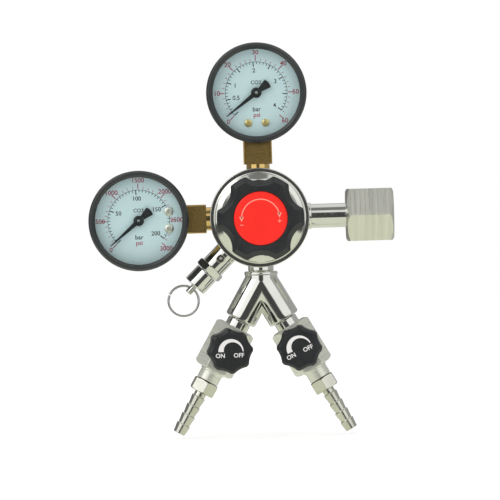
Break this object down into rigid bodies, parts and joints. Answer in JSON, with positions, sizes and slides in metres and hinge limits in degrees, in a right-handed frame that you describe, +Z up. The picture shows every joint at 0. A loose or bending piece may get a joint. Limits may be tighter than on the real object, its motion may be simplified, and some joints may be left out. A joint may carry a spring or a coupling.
{
  "type": "carbon dioxide regulator",
  "caption": "Carbon dioxide regulator with two dial gauges, an adjusting knob, a pull-ring relief valve and a wye with shut-off valves and hose barbs.",
  "frame": {"origin": "centre of the inlet's sealing washer face, on the axis of the cylinder inlet", "axes": "+X along the inlet axis, out of the cylinder nut; +Z up, towards the low pressure gauge; the adjusting knob and both dials face -Y"},
  "size_m": [0.1675, 0.0721, 0.215],
  "materials": {
    "chrome": "bright chrome plate",
    "satin_nickel": "satin nickel plate with turning marks",
    "brass": "machined brass",
    "steel": "zinc plated steel",
    "black_plastic": "moulded, fine grain",
    "red_plastic": "moulded disc with a printed arrow",
    "black_enamel": "black stove enamel",
    "window": "clear window",
    "dial_enamel": "pale printed dial",
    "pointer_black": "matt black",
    "rubber": "moulded rubber",
    "nylon": "natural nylon"
  },
  "bodies": {
    "regulator": {"regulator_body": "chrome", "bonnet": "chrome", "diaphragm": "rubber", "seat_nozzle": "brass", "poppet_spring": "steel", "range_spring": "steel", "inlet_nipple": "chrome", "inlet_washer": "nylon", "low_gauge_case": "black_enamel", "low_gauge_bezel": "black_enamel", "low_gauge_window": "window", "low_gauge_dial": "dial_enamel", "low_gauge_dial_screw_a": "brass", "low_gauge_dial_screw_b": "brass", "low_gauge_socket": "brass", "low_gauge_bourdon_tube": "brass", "low_gauge_movement_frame": "brass", "high_gauge_case": "black_enamel", "high_gauge_bezel": "black_enamel", "high_gauge_window": "window", "high_gauge_dial": "dial_enamel", "high_gauge_dial_screw_a": "steel", "high_gauge_dial_screw_b": "steel", "high_gauge_socket": "brass", "high_gauge_bourdon_tube": "brass", "high_gauge_movement_frame": "brass", "relief_body": "chrome", "relief_cap": "chrome", "relief_spring": "steel", "outlet_nipple": "chrome", "wye_manifold": "chrome", "left_valve_body": "satin_nickel", "left_hose_barb": "chrome", "left_gland_nut": "chrome", "right_valve_body": "satin_nickel", "right_hose_barb": "chrome", "right_gland_nut": "chrome"},
    "spring_button": {"spring_button": "steel"},
    "adjusting_knob": {"adjusting_knob": "black_plastic", "adjusting_screw": "steel", "knob_cap": "red_plastic"},
    "diaphragm_plate": {"diaphragm_plate": "brass"},
    "poppet": {"poppet": "brass"},
    "inlet_nut": {"inlet_nut": "satin_nickel"},
    "low_pointer": {"low_gauge_pointer": "pointer_black", "low_gauge_pinion": "brass"},
    "low_sector": {"low_gauge_sector_gear": "brass"},
    "high_pointer": {"high_gauge_pointer": "pointer_black", "high_gauge_pinion": "brass"},
    "high_sector": {"high_gauge_sector_gear": "brass"},
    "relief_stem": {"relief_stem": "chrome", "relief_seal": "nylon"},
    "relief_ring": {"relief_ring": "chrome"},
    "left_disc": {"left_valve_disc": "rubber"},
    "left_knob": {"left_valve_knob": "black_plastic", "left_valve_spindle": "steel"},
    "right_disc": {"right_valve_disc": "rubber"},
    "right_knob": {"right_valve_knob": "black_plastic", "right_valve_spindle": "steel"}
  },
  "joints": [
    {"name": "spring_button_slide", "type": "slide", "parent": "regulator", "child": "spring_button", "axis": [0, 1, 0], "range_m": [-0.0025, 0.0025], "deforming": ["range_spring"]},
    {"name": "knob_turn", "type": "hinge", "parent": "spring_button", "child": "adjusting_knob", "pos_m": [-0.0583, -0.045, 0], "axis": [0, 1, 0], "range_deg": [-721, 721]},
    {"name": "diaphragm_travel", "type": "slide", "parent": "regulator", "child": "diaphragm_plate", "axis": [0, 1, 0], "range_m": [0, 0.0008], "stiffness_N_per_m": 1500, "deforming": ["diaphragm"]},
    {"name": "poppet_travel", "type": "slide", "parent": "regulator", "child": "poppet", "axis": [0, 1, 0], "range_m": [0, 0.00082], "deforming": ["poppet_spring"]},
    {"name": "inlet_nut_spin", "type": "hinge", "parent": "regulator", "child": "inlet_nut", "pos_m": [0.002, 0, 0], "axis": [1, 0, 0], "continuous": true},
    {"name": "low_pointer_turn", "type": "hinge", "parent": "regulator", "child": "low_pointer", "pos_m": [-0.0583, -0.012, 0.0684], "axis": [0, 1, 0], "range_deg": [0, 262.5], "stiffness_Nm_per_rad": 0.0005},
    {"name": "low_sector_turn", "type": "hinge", "parent": "regulator", "child": "low_sector", "pos_m": [-0.0673, -0.0054, 0.0604], "axis": [0, 1, 0], "range_deg": [-45.5, 0.5]},
    {"name": "high_pointer_turn", "type": "hinge", "parent": "regulator", "child": "high_pointer", "pos_m": [-0.1246, -0.012, 0], "axis": [0, 1, 0], "range_deg": [0, 265.5], "stiffness_Nm_per_rad": 0.0005},
    {"name": "high_sector_turn", "type": "hinge", "parent": "regulator", "child": "high_sector", "pos_m": [-0.1166, -0.0054, -0.009], "axis": [0, 1, 0], "range_deg": [-45.5, 0.5]},
    {"name": "relief_pull", "type": "slide", "parent": "regulator", "child": "relief_stem", "axis": [-0.7071, 0, -0.7071], "range_m": [0, 0.003], "stiffness_N_per_m": 1500, "deforming": ["relief_spring"]},
    {"name": "relief_ring_swing", "type": "hinge", "parent": "relief_stem", "child": "relief_ring", "pos_m": [-0.09638, 0, -0.03808], "axis": [-0.809, 0, 0.5878], "range_deg": [-90, 90]},
    {"name": "left_disc_slide", "type": "slide", "parent": "regulator", "child": "left_disc", "axis": [-0.113, 0.9914, 0.0653], "range_m": [-0.002, 0]},
    {"name": "left_valve_turn", "type": "hinge", "parent": "left_disc", "child": "left_knob", "pos_m": [-0.07905, 0, -0.07094], "axis": [-0.113, 0.9914, 0.0653], "range_deg": [-721, 1]},
    {"name": "right_disc_slide", "type": "slide", "parent": "regulator", "child": "right_disc", "axis": [0.0529, 0.9981, 0.0305], "range_m": [-0.002, 0]},
    {"name": "right_valve_turn", "type": "hinge", "parent": "right_disc", "child": "right_knob", "pos_m": [-0.03755, 0, -0.07094], "axis": [0.0529, 0.9981, 0.0305], "range_deg": [-721, 1]}
  ],
  "couplings": [
    {"joint": "knob_turn", "follows": "spring_button_slide", "rad_per_m": 5026.5},
    {"joint": "poppet_travel", "follows": "diaphragm_travel", "ratio": 1},
    {"joint": "low_sector_turn", "follows": "low_pointer_turn", "ratio": -0.16667},
    {"joint": "high_sector_turn", "follows": "high_pointer_turn", "ratio": -0.16667},
    {"joint": "left_valve_turn", "follows": "left_disc_slide", "rad_per_m": 6283.2},
    {"joint": "right_valve_turn", "follows": "right_disc_slide", "rad_per_m": 6283.2}
  ]
}
